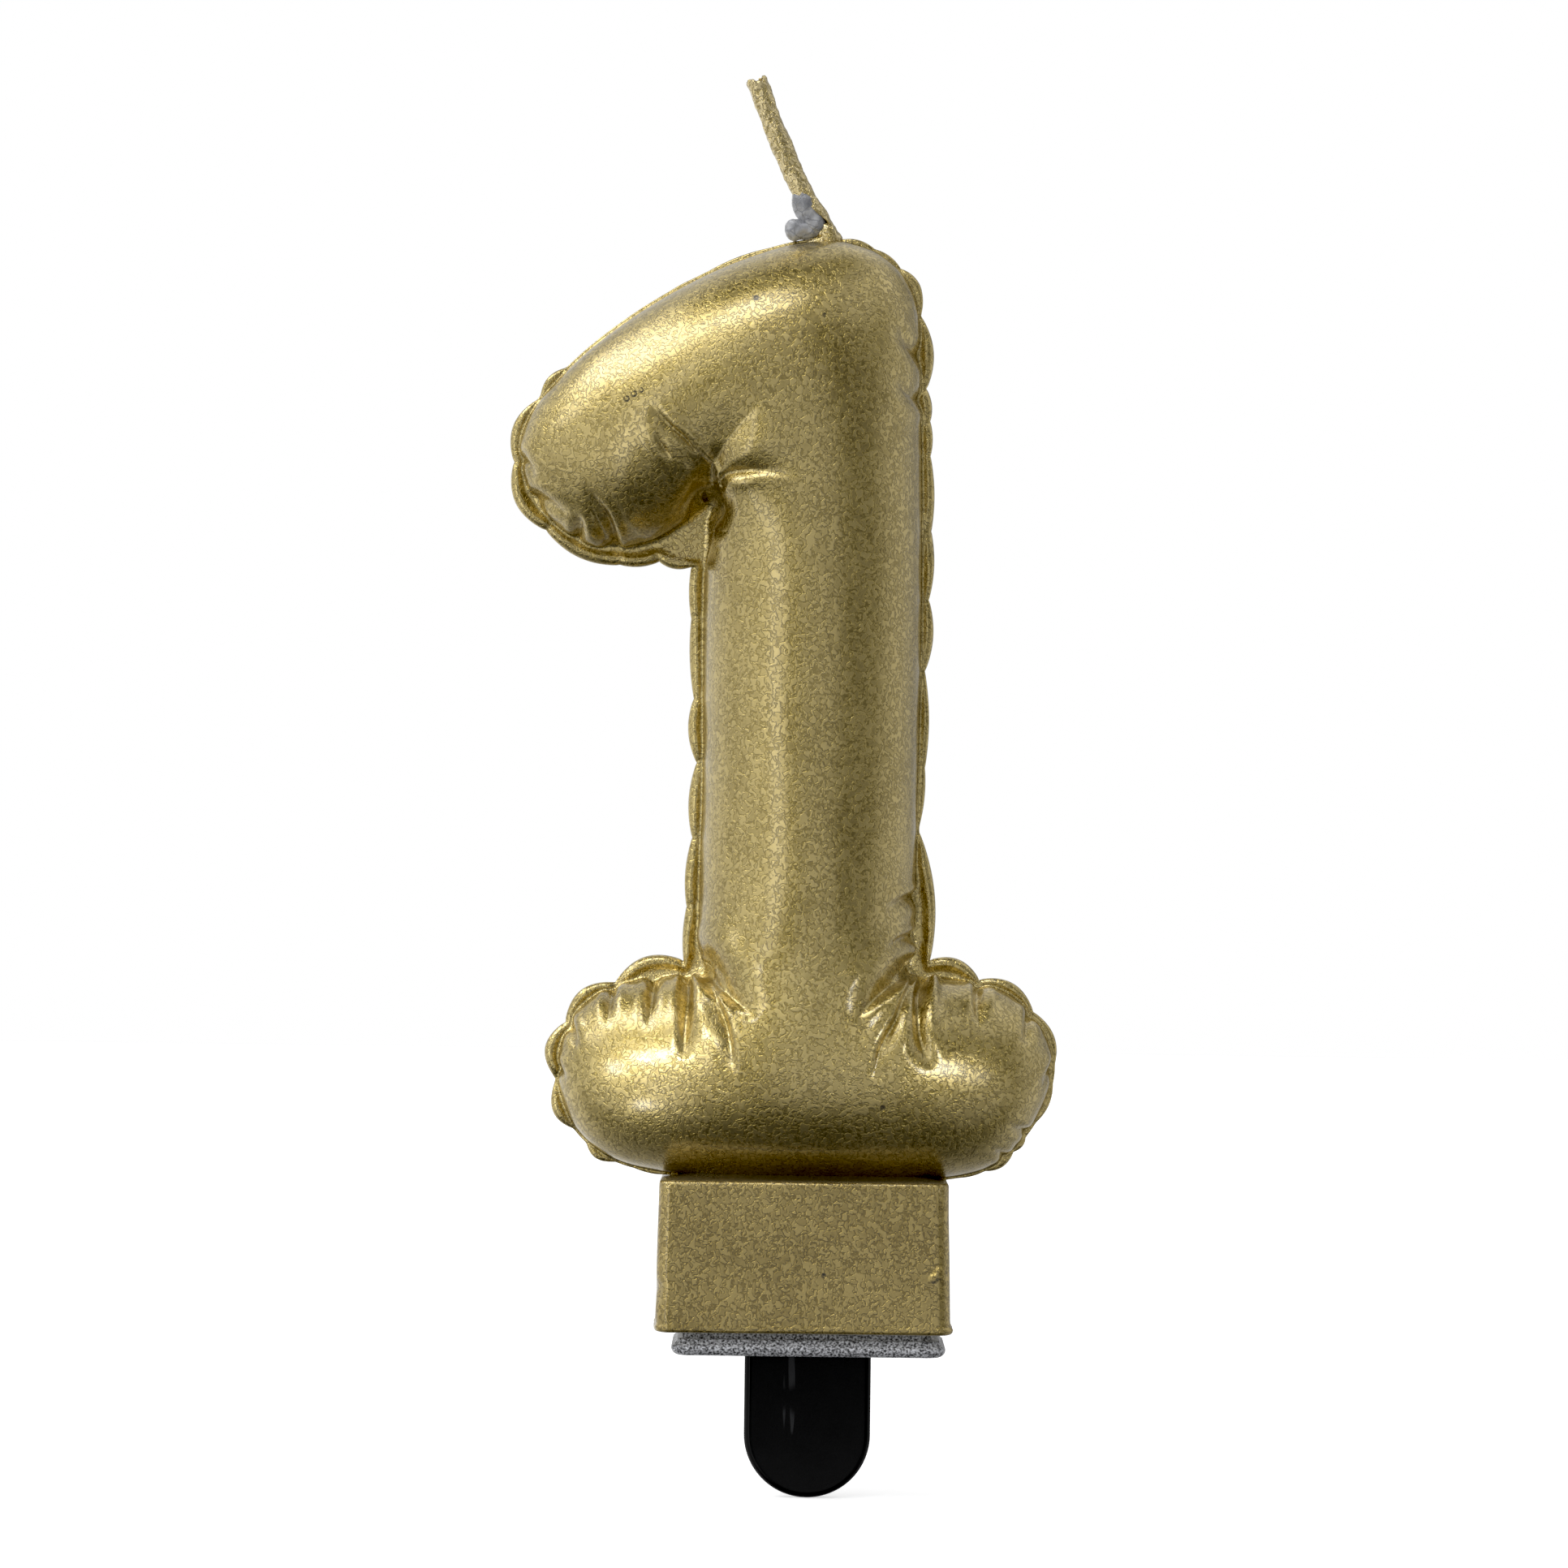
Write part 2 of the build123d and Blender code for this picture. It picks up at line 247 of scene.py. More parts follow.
# ---------------------------------------------------------------- the numeral
def outline_stations(spacing):
    """Matching points of the bulge's edge and of the seam's outer edge, all the way round.

    Between two puckers the outer edge is the chord plus the lobe's rise times a half sine, and the inner
    edge is the same share of the way along the stretch of outline that faces that lobe.
    """
    inner = np.vstack([catmull(part)[:-1] for part in (over_the_top, round_the_foot, up_the_stem)])
    inner = np.vstack([inner, inner[:1]])
    s = run_length(inner)
    puckers = np.array(seam_puckers)
    nearest = np.linalg.norm(puckers[:, None, :2] - inner[None], axis=2).argmin(axis=1)
    anchors = s[nearest]
    inner_points, outer_points, pucker_distance = [], [], []
    for here, after, start, end in zip(puckers, np.roll(puckers, -1, 0), anchors, np.roll(anchors, -1)):
        span = (end - start) % s[-1]
        chord = after[:2] - here[:2]
        length = np.linalg.norm(chord)
        count = max(8, int(np.ceil(max(span, length) / spacing)))
        share = np.arange(count) / count
        outward = np.array([-chord[1], chord[0]]) / length
        lobe = here[2] * np.sin(pi * share) ** 0.8
        outer_points.append(here[:2] + chord * share[:, None] + outward * lobe[:, None])
        inner_points.append(along(inner, (start + span * share) % s[-1]))
        pucker_distance.append(length * np.minimum(share, 1 - share))
    inner_points, outer_points = np.vstack(inner_points), np.vstack(outer_points)
    tangent = np.roll(inner_points, -1, 0) - np.roll(inner_points, 1, 0)
    normal = np.stack([-tangent[:, 1], tangent[:, 0]], axis=1)
    normal /= np.linalg.norm(normal, axis=1, keepdims=True)
    clearance = ((outer_points - inner_points) * normal).sum(axis=1)
    outer_points += normal * np.clip(seam_least_width - clearance, 0, None)[:, None]
    return inner_points, outer_points, normal, np.concatenate(pucker_distance)


def distance_to(points, targets):
    """Distance from each point to the nearest target, and that target's index, in parts to save memory."""
    nearest, distance = [], []
    for part in np.array_split(points, max(1, len(points) // 2000)):
        d = ((part[:, None] - targets[None]) ** 2).sum(axis=2)
        nearest.append(d.argmin(axis=1))
        distance.append(np.sqrt(d.min(axis=1)))
    return np.concatenate(distance), np.concatenate(nearest)


def sheet_points(edge, normal):
    """Sampling points inside the bulge's edge: rings near it, rows beside creases and a hexagonal grid."""
    ring_depths = (0.05, 0.12, 0.22, 0.35, 0.52, 0.74, 1.0)
    row_offsets = (0, 0.13, -0.13, 0.27, -0.27, 0.44, -0.44, 0.64, -0.64)
    row_step = 0.16
    ring_points = np.vstack([edge - normal * depth for depth in ring_depths])
    ring_depth = np.repeat(ring_depths, len(edge))
    crease_points = []
    for crease in creases:
        path = catmull(crease["path"])
        path = along(path, np.arange(0, run_length(path)[-1], row_step))
        step = np.gradient(path, axis=0)
        side = np.stack([-step[:, 1], step[:, 0]], axis=1) / np.linalg.norm(step, axis=1, keepdims=True)
        crease_points += [path + side * offset for offset in row_offsets]
    crease_points = np.vstack(crease_points)
    low, high = edge.min(axis=0), edge.max(axis=0)
    pitch, row_share = 0.36, 0.866
    i, j = np.meshgrid(
        np.arange((high[0] - low[0]) / pitch), np.arange((high[1] - low[1]) / pitch / row_share)
    )
    hexes = np.stack([low[0] + (i + 0.5 * (j % 2)) * pitch, low[1] + j * pitch * row_share], axis=-1)
    hexes = hexes.reshape(-1, 2)
    candidates = np.vstack([ring_points, crease_points, hexes])
    least = np.concatenate([ring_depth * 0.93, np.full(len(crease_points), 0.1), np.full(len(hexes), 1.15)])
    distance, nearest = distance_to(candidates, edge)
    inside = ((candidates - edge[nearest]) * normal[nearest]).sum(axis=1) < 0
    candidates = candidates[inside & (distance > least)]
    cell = 0.1
    _, first = np.unique(np.round(candidates / cell).astype(int), axis=0, return_index=True)
    return candidates[np.sort(first)]


def membrane(points, triangles, fixed):
    """Height of a soap film under pressure over the outline, by finite elements.

    The film's height f solves -laplace(f) = 1 with f = 0 on the edge; the square root of 2 f is then the
    round section of an inflated tube, and swells by itself where tubes meet.
    """
    corner = points[triangles]
    size = len(points)
    area = 0.5 * np.abs(
        (corner[:, 1, 0] - corner[:, 0, 0]) * (corner[:, 2, 1] - corner[:, 0, 1])
        - (corner[:, 2, 0] - corner[:, 0, 0]) * (corner[:, 1, 1] - corner[:, 0, 1])
    )
    load = sum(np.bincount(triangles[:, k], area / 3, size) for k in range(3))
    starts, ends, weights = [], [], []
    for k in range(3):
        a, b = corner[:, (k + 1) % 3] - corner[:, k], corner[:, (k + 2) % 3] - corner[:, k]
        weights.append((a * b).sum(axis=1) / np.maximum(4 * area, 1e-9))
        starts.append(triangles[:, (k + 1) % 3])
        ends.append(triangles[:, (k + 2) % 3])
    starts, ends, weights = np.concatenate(starts), np.concatenate(ends), np.concatenate(weights)
    diagonal = np.bincount(starts, weights, size) + np.bincount(ends, weights, size)
    diagonal = np.where(np.abs(diagonal) > 1e-9, diagonal, 1.0)

    def stiffness(f):
        flow = np.bincount(starts, weights * f[ends], size) + np.bincount(ends, weights * f[starts], size)
        return np.where(fixed, 0, diagonal * f - flow)

    most_steps, settled = 1200, 1e-12
    film = np.zeros(size)
    residual = np.where(fixed, 0, load)
    search = residual / diagonal
    energy = (residual * search).sum()
    for _ in range(most_steps):
        pushed = stiffness(search)
        step = energy / (search * pushed).sum()
        film += step * search
        residual -= step * pushed
        scaled = residual / diagonal
        fresh = (residual * scaled).sum()
        if fresh < settled * load.sum():
            break
        search = scaled + fresh / energy * search
        energy = fresh
    return film


def crease_depth(points):
    """How far the surface is pressed in at each (x, z) point, and how far it swells beside the creases.

    Across a crease the depth falls off as a rounded V that is wider on the side it leans to, with a low
    swelling just outside it; along its path it fades to nothing.  Where creases meet the deepest one counts.
    """
    depth, lips = np.zeros(len(points)), np.zeros(len(points))
    for crease in creases:
        path = catmull(crease["path"])
        length = run_length(path)[-1]
        path = along(path, np.linspace(0, length, int(length / crease_step)))
        near = np.linalg.norm(points - path.mean(axis=0), axis=1) < run_length(path)[-1] / 2 + crease_reach
        place = points[near]
        gap = place[:, None] - path[None]
        distance = np.linalg.norm(gap, axis=2)
        nearest = distance.argmin(axis=1)
        step = np.gradient(path, axis=0)[nearest]
        across = gap[np.arange(len(place)), nearest]
        side = np.sign(step[:, 0] * across[:, 1] - step[:, 1] * across[:, 0])
        share = nearest / (len(path) - 1)
        fade = (1 - share**2) ** crease["ending"]
        if crease["both"]:
            fade = np.sin(pi * share)
        off = distance.min(axis=1) / (crease["width"] * (1 + crease["lean"] * side))
        depth[near] = np.maximum(depth[near], crease["depth"] * fade * np.exp(-(off**1.35)))
        lips[near] += crease["lip"] * crease["depth"] * fade * np.exp(-(((off - 2.6) / 1.2) ** 2))
    return depth, lips


def vertex_normals(points, triangles):
    """Unit normals, averaged over the triangles round each vertex by their area."""
    corner = points[triangles]
    face = np.cross(corner[:, 1] - corner[:, 0], corner[:, 2] - corner[:, 0])
    total = sum(
        np.stack([np.bincount(triangles[:, k], face[:, c], len(points)) for c in range(3)], axis=1)
        for k in range(3)
    )
    return total / np.maximum(np.linalg.norm(total, axis=1, keepdims=True), 1e-12)


def numeral(material):
    """The inflated numeral one: two bulging sheets joined by a flat lobed seam with a beaded rim.

    The front sheet's height is the film's round section, less the creases along its own normals; the back
    sheet is its mirror image.  The seam's section runs from the bulge's edge over a thin web to a round
    bead at the lobed rim, and sways a little to the front and back.
    """
    edge, rim, edge_normal, from_pucker = outline_stations(spacing=0.26)
    count = len(edge)
    loop = np.arange(count)
    after = (loop + 1) % count
    flat = np.vstack([edge, sheet_points(edge, edge_normal)])
    edges = np.stack([loop, after], axis=1).tolist()
    found = delaunay_2d_cdt([Vector(p) for p in flat.tolist()], edges, [loop[::-1].tolist()], 1, 1e-5)
    flat, triangles = np.array([tuple(p) for p in found[0]]), np.array(found[2])
    sides = flat[triangles[:, 1]] - flat[triangles[:, 0]], flat[triangles[:, 2]] - flat[triangles[:, 0]]
    turned = sides[0][:, 0] * sides[1][:, 1] - sides[0][:, 1] * sides[1][:, 0] < 0
    triangles[turned] = triangles[turned][:, ::-1]
    on_edge = np.arange(len(flat)) < count
    height = inflation * np.sqrt(2 * np.clip(membrane(flat, triangles, on_edge), 0, None))
    height = inflation_limit * np.tanh((height / inflation_limit) ** 4) ** 0.25
    front = np.stack([flat[:, 0], -(seam_root + height), flat[:, 1]], axis=1)
    normals = vertex_normals(front, triangles)
    normals[:count] = np.stack([edge_normal[:, 0], np.zeros(count), edge_normal[:, 1]], axis=1)
    depth, lips = crease_depth(flat)
    deepest = 0.35 + 0.6 * height
    pressed = np.minimum(depth, deepest) - lips * smooth(height, 0, 1.5)
    unevenness = 0.05
    pressed += unevenness * waves(front, 9.0, 3) * smooth(height, 0, 3)
    front -= normals * pressed[:, None]
    back = front * (1, -1, 1)

    root = front[:count, [0, 2]]
    width = np.linalg.norm(rim - root, axis=1)
    bead = np.minimum(seam_rim, 0.5 * width)
    pinch_reach, sway_height, least_thick = 0.35, 0.16, 0.12
    pinch = np.exp(-from_pucker / pinch_reach)
    sway = sway_height * waves(rim, 7.0, 5) * smooth(width, 0.2, 1.0)
    rows = []
    for share in (0.12, 0.26, 0.42, 0.56, 0.68, 0.78, 0.86, 0.92, 0.965, 0.99, 1.0):
        from_rim = width * (1 - share)
        rounded = np.sqrt(np.clip(bead**2 - (bead - np.minimum(from_rim, bead)) ** 2, 0, None))
        web = seam_web + (bead - seam_web) * (1 - smooth(from_rim, bead, 2.1 * bead))
        thick = np.where(from_rim < bead, rounded, np.maximum(web, least_thick))
        thick += (seam_root - thick) * (1 - smooth(share, 0.0, 0.2)) * (from_rim > bead)
        thick *= 1 - 0.3 * pinch * (share > 0.2)
        rows.append((root + (rim - root) * share, thick, sway * share))
    halves = [(row, -1) for row in rows] + [(row, 1) for row in rows[-2::-1]]
    ring = np.vstack([
        np.stack([place[:, 0], off + half * thick, place[:, 1]], axis=1)
        for (place, thick, off), half in halves
    ])
    ring_start = 2 * len(front)
    last_row = ring_start + len(ring) - count
    faces = [triangles, triangles[:, ::-1] + len(front)]
    for one, other in ((0, ring_start), (last_row, len(front))):
        faces.append(np.stack([one + after, other + after, other + loop, one + loop], axis=1))
    faces.append(grid_faces(len(halves), count, ring_start))
    seam = np.concatenate([on_edge * 0.5, on_edge * 0.5, np.ones(len(ring))])
    return add_mesh("numeral", np.vstack([front, back, ring]), faces, material, seam=seam)


# ---------------------------------------------------------------- block, pick and wick
def rounded_rectangle(half_x, half_y, corner, arc=8, side=14):
    """Points round a rounded rectangle: a quarter circle at each corner, then a straight run to the next."""
    turn = np.arange(4)[:, None] * pi / 2 + np.linspace(0, pi / 2, arc)[None]
    signs = np.array([[1, -1, -1, 1], [1, 1, -1, -1]])
    centre = signs * np.array([[half_x - corner], [half_y - corner]])
    arcs = centre[:, :, None] + corner * np.stack([np.cos(turn), np.sin(turn)])
    share = np.arange(1, side) / side
    runs = arcs[:, :, -1:] + (np.roll(arcs[:, :, 0], -1, 1) - arcs[:, :, -1])[:, :, None] * share
    return np.concatenate([arcs, runs], axis=2).reshape(2, -1).T


def stacked_rings(name, rings, material, change=None, arc=8, side=14, **masks):
    """One closed surface through rounded rectangles given as (x, z, half width, half depth, corner)."""
    rows = []
    for x, z, half_x, half_y, corner in rings:
        outline = rounded_rectangle(half_x, half_y, corner, arc, side)
        rows.append(np.column_stack([outline[:, 0] + x, outline[:, 1], np.full(len(outline), z)]))
    points, count = np.vstack(rows), len(rows[0])
    if change:
        points = change(points)
    values = {mask: value(points) for mask, value in masks.items()}
    faces = [grid_faces(len(rings), count)] + end_caps(len(points), count)
    return add_mesh(name, points, faces, material, **values)


def rounded_step(start, end, steps, bulge=1.0):
    """Rings from one ring to another, both given as in stacked_rings.

    The level follows one minus a cosine and the rest a sine to the power of bulge: with 1 a quarter ellipse.
    """
    angle = np.linspace(0, pi / 2, steps)
    start, end = np.array(start, float), np.array(end, float)
    across, along_z = np.sin(angle) ** bulge, 1 - np.cos(angle)
    rings = start + (end - start) * across[:, None]
    rings[:, 1] = start[1] + (end[1] - start[1]) * along_z
    return [tuple(r) for r in rings]


def foot_block(material):
    """The draughted wax block: a domed top inside the foot, flat sides and a slot for the pick's tang."""
    low, high = block_bottom, 14.3
    x = -0.5
    slot_reach, slot_depth, slot_top = 5, 3, 12
    chips = ((-12.4, 5.6, 0.55, 0.3), (-12.4, 4.6, 0.35, 0.2), (-12.2, 2.2, 0.6, 0.25))
    sides = []
    for z in np.linspace(high - 0.25, low + 0.75, 26):
        out = (high - z) * 0.02
        sides.append((x, z, 11.86 + out, 6.72 + out, 1.1))
    rings = [
        (x, 15.6, 6.5, 0.9, 0.6), (x, 15.3, 8.0, 1.4, 0.7), (x, 14.7, 9.6, 2.4, 1.0),
        (x, 14.42, 10.8, 4.4, 1.0), (x, 14.36, 11.45, 6.1, 1.0), (x, 14.32, 11.68, 6.5, 1.0),
        (x, 14.22, 11.8, 6.66, 1.05),
        *sides,
        (x, low + 0.62, 12.12, 6.97, 1.1), (x, low + 0.52, 12.2, 7.02, 1.12),
        (x, low + 0.4, 12.22, 7.03, 1.12), (x, low + 0.22, 12.2, 7.01, 1.12),
        (x, low + 0.08, 12.1, 6.92, 1.05), (x, low, 11.9, 6.75, 0.95), (x, low, 9.0, 4.5, 0.8),
        (x, low, 5.2, 2.0, 0.5), (x, low, 4.45, 1.2, 0.3), (x, low + 0.15, 4.3, 1.0, 0.25),
        (x, 7.0, 4.25, 0.98, 0.22), (x, 10.8, 4.2, 0.96, 0.2), (x, 11.0, 4.0, 0.8, 0.1),
    ]

    def chipped(points):
        """Slight hand-cast unevenness, the ragged rim along the bottom and chips in the left corner."""
        outside = (np.abs(points[:, 1]) > 6.4) | (np.abs(points[:, 0] - x) > 11.3)
        rim = np.exp(-(((points[:, 2] - (low + 0.4)) / 0.35) ** 2))
        out = 0.03 * waves(points, 6.0, 11) + 0.09 * rim * waves(points[:, :2], 1.6, 12)
        for chip_x, chip_z, size, depth in chips:
            across, along_y, up = points[:, 0] - chip_x, points[:, 1] + 6.6, points[:, 2] - chip_z
            out -= depth * np.exp(-(across**2 + along_y**2 / 4 + up**2) / size**2)
        away = points[:, :2] - (x, 0)
        away /= np.linalg.norm(away, axis=1, keepdims=True)
        points[:, :2] += away * (out * outside)[:, None]
        return points

    def bare(points):
        """The underside and the slot, where the wax shows."""
        across, depth, up = np.abs(points[:, 0] - x), np.abs(points[:, 1]), points[:, 2]
        slot = (across < slot_reach) & (depth < slot_depth) & (up < slot_top)
        return ((up < low + 0.05) | slot).astype(float)

    def crevice(points):
        """The dome above the block's edge, close under the foot: painted darker gold as painted shade, so the
        foot's underside shows shade there.
        """
        return (points[:, 2] > high - 0.02).astype(float)

    return stacked_rings("foot_block", rings, material, chipped, arc=10, side=24, bare=bare, crevice=crevice)


def pick_plate(material):
    """The pick's plate with its raised pad and the tang that stands up into the wax."""
    top, pad_top = 1.35, 1.9
    rings = (
        rounded_step((0, 0, 10.6, 5.95, 1.0), (0, 0.62, 11.25, 6.6, 1.6), 8)
        + rounded_step((0, 0.75, 11.25, 6.6, 1.6), (0, top, 10.75, 6.1, 1.2), 8, 2.0)[1:]
        + [(0, top, 10.4, 5.75, 1.0), (-0.1, top + 0.08, 10.25, 5.6, 1.0)]
        + [(-0.2, pad_top - 0.04, 10.2, 5.55, 1.0), (-0.2, pad_top, 10.1, 5.45, 0.95)]
        + [(-0.5, pad_top, 4.6, 1.3, 0.4), (-0.5, pad_top + 0.2, 4.05, 0.92, 0.3)]
        + [(-0.5, 10.0, 3.95, 0.88, 0.3), (-0.5, 10.3, 3.8, 0.75, 0.2)]
    )
    return stacked_rings("pick_plate", rings, material, arc=8, side=20)


def pick_blade(material):
    """The round-ended blade: its outline drawn in by steps while the faces rise to a slight crown."""
    half_width, half_thick, top = 5.22, 1.0, 0.35
    centre_z = blade_tip + half_width
    arc = np.linspace(0, pi, 49)
    rise = np.linspace(0, 1, 17)
    inset = np.array([0, 0.03, 0.09, 0.18, 0.3, 0.45, 0.7, 1.1, 1.8, 2.8, 4.0, 4.9])
    depth = half_thick - 0.42 * (1 - np.clip(inset / 0.45, 0, 1)) ** 2 + 0.05 * np.clip(inset / 4.9, 0, 1)
    inset = np.concatenate([inset[::-1], inset])
    depth = np.concatenate([-depth[::-1], depth])
    rows = []
    for step, y in zip(inset, depth):
        radius = half_width - step
        bend = np.stack([-radius * np.cos(arc), centre_z - radius * np.sin(arc)], axis=1)
        left = np.stack([0 * rise - radius, top + (centre_z - top) * rise], axis=1)[:-1]
        right = np.stack([0 * rise + radius, centre_z + (top - centre_z) * rise], axis=1)[1:]
        outline = np.vstack([left, bend, right])
        rows.append(np.column_stack([outline[:, 0], np.full(len(outline), y), outline[:, 1]]))
    points, count = np.vstack(rows), len(rows[0])
    faces = [grid_faces(len(rows), count)] + end_caps(len(points), count)
    return add_mesh("pick_blade", points, faces, material)


wick_axis = catmull(
    [(0.9, 91.5), (0.5, 92.3), (-0.2, 93.4), (-1.1, 94.9), (-1.9, 96.4), (-2.5, 97.7), (-3.1, 99.1),
     (-4.0, 101.1), (-4.8, 103.2), (-5.65, 105.45)],
    steps=16,
)


def tube(path, radius, turns, slant=0.0):
    """Points round a path in the XZ plane: radius and the shift along the path may vary with both."""
    length = run_length(path)[-1]
    s = np.clip(np.asarray(slant), 0, length)
    s = np.broadcast_to(s, np.broadcast_shapes(s.shape, turns.shape, np.shape(radius)))
    centre = along(path, s)
    direction = along(path, np.clip(s + 0.15, 0, length)) - along(path, np.clip(s - 0.15, 0, length))
    direction /= np.linalg.norm(direction, axis=-1, keepdims=True)
    across = radius * np.cos(turns)
    x = centre[..., 0] + direction[..., 1] * across
    z = centre[..., 1] - direction[..., 0] * across
    return np.stack([x, -radius * np.sin(turns) + 0 * across, z], axis=-1)


def wick_gold(material):
    """The dipped sleeve: a thin-walled lumpy tube with a ragged hollow end and a torn lower edge."""
    rows, columns = 150, 72
    turns = full_turn(columns)
    length = run_length(wick_axis)[-1]
    upper = length - 0.12 - 0.42 * np.abs(np.sin(turns + 0.5)) ** 3 - 0.12 * np.cos(5 * turns + 1) ** 2
    front_left = np.exp(-(((np.angle(np.exp(1j * (turns - radians(118))))) / 1.05) ** 2))
    notch = np.exp(-(((np.angle(np.exp(1j * (turns - radians(112))))) / 0.22) ** 2))
    lower = 0.02 + 4.1 * front_left**0.6 + 0.55 * notch + 0.12 * np.cos(7 * turns)
    share = np.linspace(0, 1, rows)[:, None]
    s = lower + (upper - lower) * share
    place = np.stack([np.cos(turns) + 0 * s, np.sin(turns) + 0 * s, s / 1.5], axis=-1)
    lumps = 0.035 * waves(place * 2.0, 1.7, 21) + 0.025 * waves(place * 2.0, 0.8, 22)
    radius = 0.86 + 0.1 * np.exp(-(((s - 3.2) / 1.6) ** 2)) + lumps + 0.03 * np.sin(s * 0.9)
    radius = radius + 0.08 * (1 - smooth(s, 0, 0.9)) - 0.1 * (1 - smooth(upper - s, 0, 0.25))
    outer = tube(wick_axis, radius, turns, s)
    inner = tube(wick_axis, radius - 0.17, turns, s)[::-1]
    points = np.vstack([outer.reshape(-1, 3), inner.reshape(-1, 3)])
    faces = grid_faces(2 * rows, columns)
    k = np.arange(columns)
    last = (2 * rows - 1) * columns
    join = np.stack([last + k, k, (k + 1) % columns, last + (k + 1) % columns], axis=1)
    return add_mesh("wick_gold", points, [faces, join], material)


def wick_braid(material):
    """Three twisted cotton strands: the radius swells three times round, turning as it climbs."""
    rows, columns = 170, 36
    turns = full_turn(columns)
    length = run_length(wick_axis)[-1]
    s = np.linspace(0.05, length - 0.55, rows)[:, None] + 0 * turns
    radius = 0.48 + 0.14 * np.abs(np.cos(1.5 * turns + s * 1.9)) + 0.01 * np.sin(9 * turns + 14 * s)
    radius = radius * np.minimum(1, 0.35 + smooth(length - 0.55 - s, 0, 0.25))
    points = tube(wick_axis, radius, turns, s).reshape(-1, 3)
    twist = (s * 1.9 / 1.5 / tau + turns / tau).reshape(-1)
    faces = [grid_faces(rows, columns)] + end_caps(len(points), columns)
    return add_mesh("wick_braid", points, faces, material, twist=twist)


def lump(path, radii, seed, roughness=0.05, rows=36, columns=32):
    """A closed drop along a short path: its radius follows the given profile, rounded off at both ends."""
    path = catmull(path)
    length = run_length(path)[-1]
    share = np.linspace(0, 1, rows)[:, None]
    turns = full_turn(columns)
    swell = np.interp(share, np.linspace(0, 1, len(radii)), radii)
    ends = np.sqrt(np.clip(1 - np.abs(2 * share - 1) ** 5, 0, 1))
    s = share * length
    place = np.stack([np.cos(turns) + 0 * s, np.sin(turns) + 0 * s, s + 0 * turns], axis=-1)
    uneven = roughness * waves(place, 1.4, seed) + 0.5 * roughness * waves(place, 0.6, seed + 1)
    points = tube(path, (swell + uneven) * ends + 0.01, turns, s).reshape(-1, 3)
    return points, [grid_faces(rows, columns)] + end_caps(len(points), columns)


def joined(name, lumps, material):
    """Several closed lumps in one mesh."""
    points, faces, start = [], [], 0
    for lump_points, lump_faces in lumps:
        points.append(lump_points)
        faces += [f + start for f in lump_faces]
        start += len(lump_points)
    return add_mesh(name, np.vstack(points), faces, material)


def clear_wax(material):
    """Undyed wax left bare round the wick's bend, and the drop that hangs at its left."""
    round_wick = [(0.25, 92.3), (-0.5, 93.3), (-1.15, 94.4), (-1.75, 95.6), (-2.1, 96.2)]
    drop = [(-0.2, 92.6), (-1.3, 92.75), (-2.3, 92.75), (-3.05, 92.65)]
    return joined("clear_wax", [
        lump(round_wick, [0.7, 0.95, 1.02, 1.02, 0.85], 31, 0.07),
        lump(drop, [0.7, 0.8, 0.85, 0.95, 0.75], 41, 0.09),
    ], material)


def wick_collar(material):
    """Gold lumps where the wick leaves the seam."""
    along_seam = [(-1.4, 91.55), (-0.5, 91.75), (0.4, 91.75), (1.5, 91.6)]
    before_wick = [(-0.3, 92.15), (0.35, 92.2), (1.0, 91.95)]
    up_wick = [(1.15, 91.3), (0.75, 92.0), (0.25, 92.9), (-0.05, 93.4)]
    return joined("wick_collar", [
        lump(along_seam, [0.3, 0.55, 0.75, 0.7, 0.4], 51, 0.06),
        lump(before_wick, [0.28, 0.42, 0.3], 61, 0.06),
        lump(up_wick, [0.9, 0.98, 0.9, 0.5], 71, 0.07),
    ], material)


# ---------------------------------------------------------------- materials
def node(tree, kind, sockets=(), **settings):
    """A shader node with its settings; each given socket gets a number, a colour or a link."""
    made = tree.nodes.new("ShaderNode" + kind)
    for setting, value in settings.items():
        setattr(made, setting, value)
    for socket, value in dict(sockets).items():
        if isinstance(value, bpy.types.NodeSocket):
            tree.links.new(value, made.inputs[socket])
        else:
            made.inputs[socket].default_value = value
    return made


def maths(tree, operation, *values):
    """One arithmetic step on numbers or links."""
    return node(tree, "Math", dict(enumerate(values)), operation=operation).outputs[0]


def ramp(tree, value, stops):
    """A value put through a smooth step from one range to another."""
    ends = zip(("From Min", "From Max", "To Min", "To Max"), stops[0] + stops[1])
    return node(tree, "MapRange", {"Value": value, **dict(ends)}, interpolation_type="SMOOTHSTEP").outputs[0]


def noise(tree, place, scale, **sockets):
    """A noise texture's value, between about 0 and 1."""
    return node(tree, "TexNoise", {"Vector": place, "Scale": scale, **sockets}).outputs[0]


def blend_colour(tree, share, first, second):
    """Two colours mixed by a share."""
    mix = node(tree, "Mix", {"Factor": share, 6: first, 7: second}, data_type="RGBA")
    return mix.outputs[2]


def sum_of(tree, *parts):
    """Weighted sum of values, each given as (value, weight)."""
    total = None
    for value, weight in parts:
        scaled = maths(tree, "MULTIPLY", value, weight)
        total = scaled if total is None else maths(tree, "ADD", total, scaled)
    return total


def shader_group(name, inputs, outputs):
    """An empty shader node group with named number inputs and outputs."""
    group = bpy.data.node_groups.new(name, "ShaderNodeTree")
    for title, value in inputs.items():
        socket = group.interface.new_socket(title, in_out="INPUT", socket_type="NodeSocketFloat")
        socket.default_value = value
    for title in outputs:
        group.interface.new_socket(title, in_out="OUTPUT", socket_type="NodeSocketFloat")
    return group, group.nodes.new("NodeGroupInput"), group.nodes.new("NodeGroupOutput")


def own_place(tree):
    """The place in the piece's own coordinates, in metres."""
    return node(tree, "TexCoord").outputs["Object"]


def mask_of(tree, name):
    """A point attribute of the piece."""
    return node(tree, "Attribute", attribute_name=name).outputs["Fac"]


